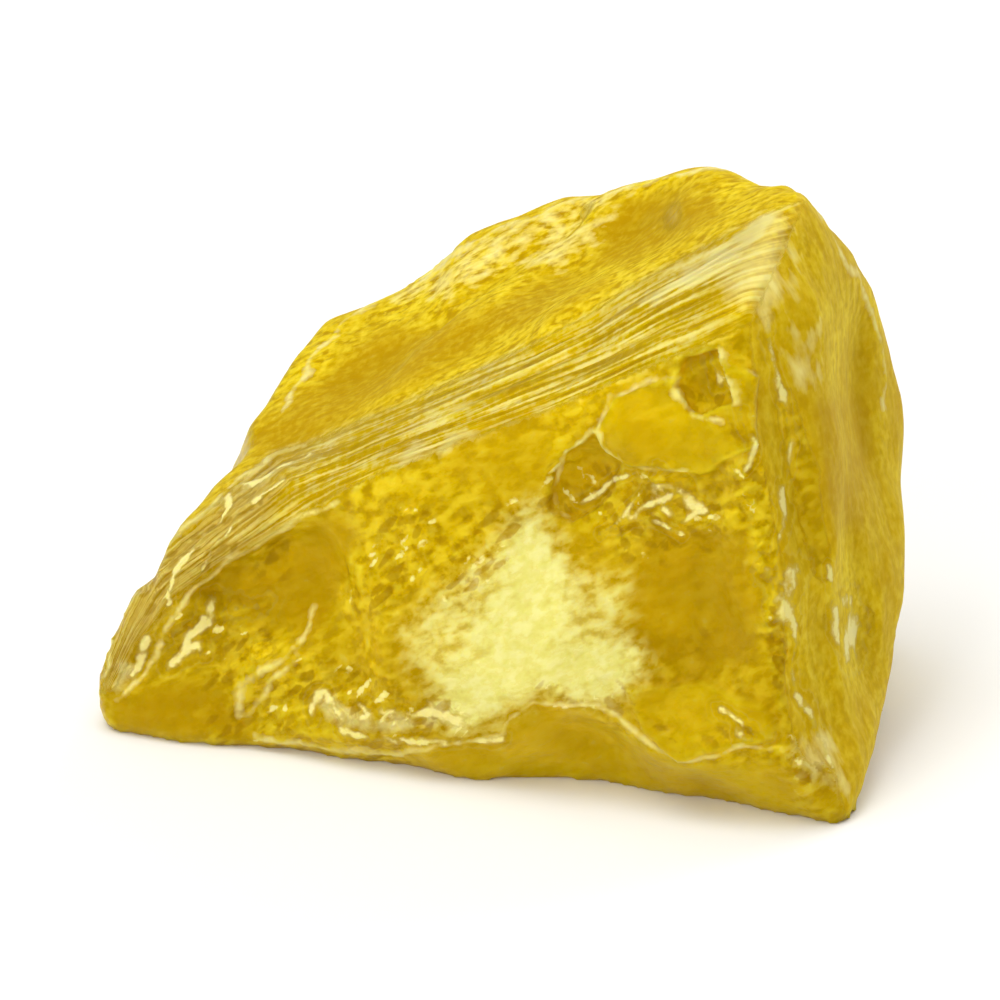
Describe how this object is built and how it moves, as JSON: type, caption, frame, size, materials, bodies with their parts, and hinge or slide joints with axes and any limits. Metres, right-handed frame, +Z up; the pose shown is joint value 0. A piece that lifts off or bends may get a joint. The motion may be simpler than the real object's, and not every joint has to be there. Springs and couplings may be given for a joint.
{
  "type": "raw fluorite chunk",
  "caption": "Broken chunk of raw yellow fluorite: a slanting wedge with a striated ridge, a steep front break, shell-shaped hollows and a flat rest face.",
  "frame": {"origin": "middle of the bounding box's bottom face, on the surface that the chunk rests on", "axes": "+Z up from the rest face, +X along the longest extent towards the high end, -Y towards the steep front break"},
  "size_m": [0.0351, 0.031, 0.0253],
  "materials": {
    "fluorite": "translucent, waxy to glassy on the breaks, yellow to amber with pale milky veils"
  },
  "bodies": {
    "root": {"fluorite_stone": "fluorite"}
  },
  "joints": []
}
